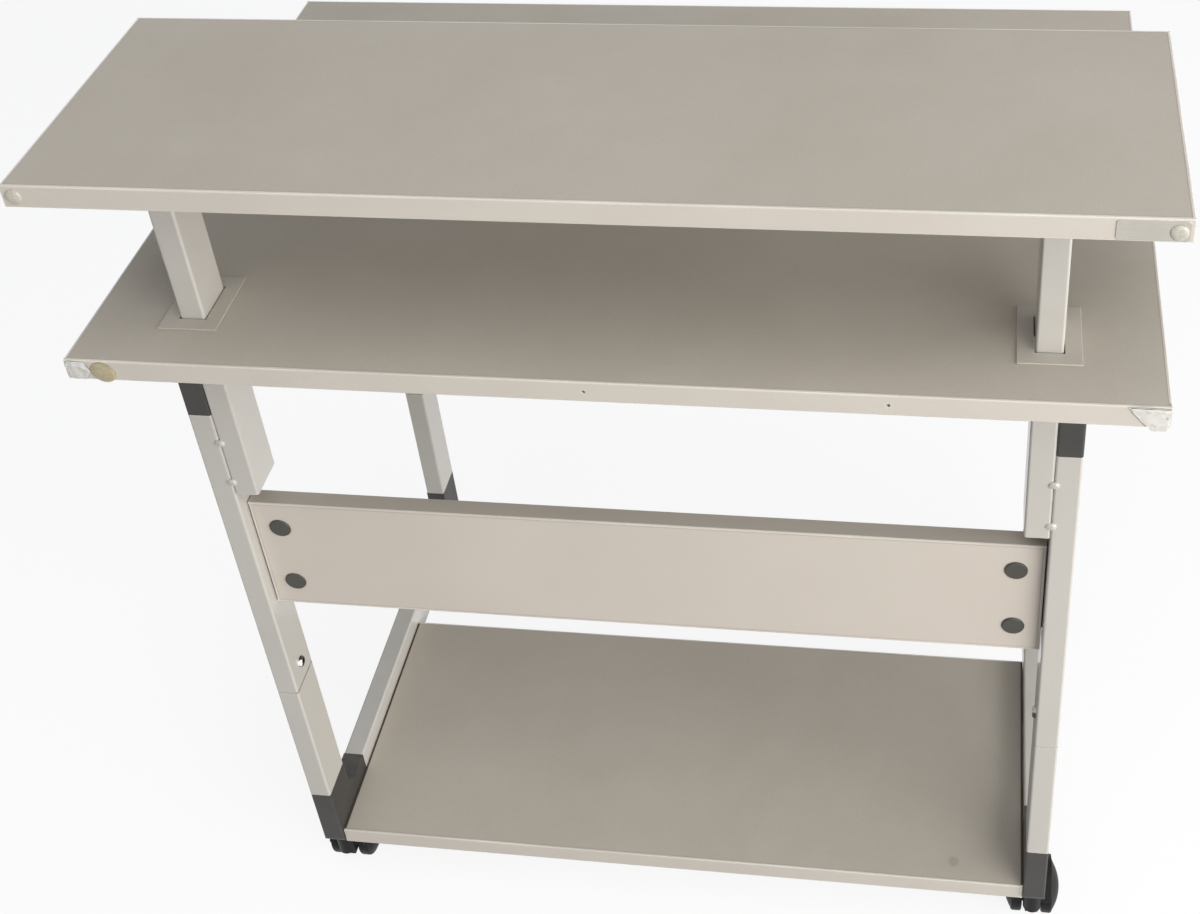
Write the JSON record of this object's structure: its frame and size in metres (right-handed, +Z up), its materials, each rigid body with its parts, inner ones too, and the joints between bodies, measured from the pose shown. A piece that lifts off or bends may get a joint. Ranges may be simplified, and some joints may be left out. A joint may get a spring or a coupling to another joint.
{
  "type": "rolling computer desk",
  "caption": "Height-adjustable rolling desk: laminate worktop, raised shelf, bottom shelf and cross panel on two steel side frames with castors.",
  "frame": {"origin": "on the floor, below the middle of the desk's footprint, with the castors' wheels at z = 0", "axes": "+X to the right across the desk, +Y from the side with the cross panel and badge plate to the open side where the user sits, +Z up"},
  "size_m": [0.8, 0.5624, 0.878],
  "materials": {
    "frame_steel": "light grey-beige powder coat, fine texture, satin",
    "connector_plastic": "dark grey moulded plastic, matt",
    "board_laminate": "warm grey melamine laminate on chipboard, satin",
    "panel_laminate": "pale grey-beige melamine laminate on chipboard, satin",
    "edging_plastic": "off-white plastic edging, satin",
    "trim_plastic": "warm grey plastic plate, satin",
    "zinc": "bright zinc plate",
    "badge_metal": "bare satin foil",
    "gel": "yellowed clear silicone",
    "paper_tape": "white paper tape, matt",
    "castor_plastic": "black nylon, satin",
    "wheel_plastic": "black nylon, matt tread"
  },
  "bodies": {
    "lower_frame": {"base_tube_left": "frame_steel", "base_tube_right": "frame_steel", "base_corner_front_left": "connector_plastic", "base_corner_front_right": "connector_plastic", "base_corner_rear_left": "connector_plastic", "base_corner_rear_right": "connector_plastic", "lower_leg_front_left": "frame_steel", "lower_leg_front_right": "frame_steel", "lower_leg_rear_left": "frame_steel", "lower_leg_rear_right": "frame_steel", "leg_inserts": "frame_steel", "bottom_shelf": "board_laminate", "bottom_shelf_edging": "edging_plastic", "bottom_shelf_screws": "zinc", "castor_stems": "zinc"},
    "upper_frame": {"upper_leg_front_left": "frame_steel", "upper_leg_front_right": "frame_steel", "upper_leg_rear_left": "frame_steel", "upper_leg_rear_right": "frame_steel", "top_corner_front_left": "connector_plastic", "top_corner_front_right": "connector_plastic", "top_corner_rear_left": "connector_plastic", "top_corner_rear_right": "connector_plastic", "top_tube_left": "frame_steel", "top_tube_right": "frame_steel", "post_left": "frame_steel", "post_right": "frame_steel", "worktop": "board_laminate", "worktop_edging": "edging_plastic", "post_trims": "trim_plastic", "worktop_screws": "zinc", "raised_shelf": "board_laminate", "raised_shelf_edging": "edging_plastic", "raised_shelf_screws": "zinc", "cross_panel": "panel_laminate", "cross_panel_edging": "edging_plastic", "panel_screws": "zinc", "panel_screw_caps": "connector_plastic", "clamp_screws": "zinc", "badge_plate": "badge_metal", "gel_pads": "gel", "corner_tapes": "paper_tape"},
    "castor_body_front_left": {"castor_front_left": "castor_plastic", "axle_front_left": "zinc"},
    "wheel_body_front_left_outer": {"wheel_front_left_outer": "wheel_plastic"},
    "wheel_body_front_left_inner": {"wheel_front_left_inner": "wheel_plastic"},
    "castor_body_front_right": {"castor_front_right": "castor_plastic", "axle_front_right": "zinc"},
    "wheel_body_front_right_outer": {"wheel_front_right_outer": "wheel_plastic"},
    "wheel_body_front_right_inner": {"wheel_front_right_inner": "wheel_plastic"},
    "castor_body_rear_left": {"castor_rear_left": "castor_plastic", "axle_rear_left": "zinc"},
    "wheel_body_rear_left_outer": {"wheel_rear_left_outer": "wheel_plastic"},
    "wheel_body_rear_left_inner": {"wheel_rear_left_inner": "wheel_plastic"},
    "brake_body_left": {"brake_lever_left": "castor_plastic"},
    "castor_body_rear_right": {"castor_rear_right": "castor_plastic", "axle_rear_right": "zinc"},
    "wheel_body_rear_right_outer": {"wheel_rear_right_outer": "wheel_plastic"},
    "wheel_body_rear_right_inner": {"wheel_rear_right_inner": "wheel_plastic"},
    "brake_body_right": {"brake_lever_right": "castor_plastic"}
  },
  "joints": [
    {"name": "height_slide", "type": "slide", "parent": "lower_frame", "child": "upper_frame", "axis": [0, 0, 1], "range_m": [0, 0.2]},
    {"name": "castor_swivel_front_left", "type": "hinge", "parent": "lower_frame", "child": "castor_body_front_left", "pos_m": [-0.339, -0.2058, 0.05], "axis": [0, 0, 1], "continuous": true},
    {"name": "wheel_spin_front_left_outer", "type": "hinge", "parent": "castor_body_front_left", "child": "wheel_body_front_left_outer", "pos_m": [-0.3565, -0.1798, 0.025], "axis": [1, 0, 0], "continuous": true},
    {"name": "wheel_spin_front_left_inner", "type": "hinge", "parent": "castor_body_front_left", "child": "wheel_body_front_left_inner", "pos_m": [-0.3215, -0.1798, 0.025], "axis": [1, 0, 0], "continuous": true},
    {"name": "castor_swivel_front_right", "type": "hinge", "parent": "lower_frame", "child": "castor_body_front_right", "pos_m": [0.339, -0.2058, 0.05], "axis": [0, 0, 1], "continuous": true},
    {"name": "wheel_spin_front_right_outer", "type": "hinge", "parent": "castor_body_front_right", "child": "wheel_body_front_right_outer", "pos_m": [0.3565, -0.1798, 0.025], "axis": [1, 0, 0], "continuous": true},
    {"name": "wheel_spin_front_right_inner", "type": "hinge", "parent": "castor_body_front_right", "child": "wheel_body_front_right_inner", "pos_m": [0.3215, -0.1798, 0.025], "axis": [1, 0, 0], "continuous": true},
    {"name": "castor_swivel_rear_left", "type": "hinge", "parent": "lower_frame", "child": "castor_body_rear_left", "pos_m": [-0.339, 0.2092, 0.05], "axis": [0, 0, 1], "continuous": true},
    {"name": "wheel_spin_rear_left_outer", "type": "hinge", "parent": "castor_body_rear_left", "child": "wheel_body_rear_left_outer", "pos_m": [-0.3565, 0.1832, 0.025], "axis": [1, 0, 0], "continuous": true},
    {"name": "wheel_spin_rear_left_inner", "type": "hinge", "parent": "castor_body_rear_left", "child": "wheel_body_rear_left_inner", "pos_m": [-0.3215, 0.1832, 0.025], "axis": [1, 0, 0], "continuous": true},
    {"name": "brake_press_left", "type": "hinge", "parent": "castor_body_rear_left", "child": "brake_body_left", "pos_m": [-0.339, 0.15754, 0.04653], "axis": [1, 0, 0], "range_deg": [0, 25]},
    {"name": "castor_swivel_rear_right", "type": "hinge", "parent": "lower_frame", "child": "castor_body_rear_right", "pos_m": [0.339, 0.2092, 0.05], "axis": [0, 0, 1], "continuous": true},
    {"name": "wheel_spin_rear_right_outer", "type": "hinge", "parent": "castor_body_rear_right", "child": "wheel_body_rear_right_outer", "pos_m": [0.3565, 0.1832, 0.025], "axis": [1, 0, 0], "continuous": true},
    {"name": "wheel_spin_rear_right_inner", "type": "hinge", "parent": "castor_body_rear_right", "child": "wheel_body_rear_right_inner", "pos_m": [0.3215, 0.1832, 0.025], "axis": [1, 0, 0], "continuous": true},
    {"name": "brake_press_right", "type": "hinge", "parent": "castor_body_rear_right", "child": "brake_body_right", "pos_m": [0.339, 0.15754, 0.04653], "axis": [1, 0, 0], "range_deg": [0, 25]}
  ]
}
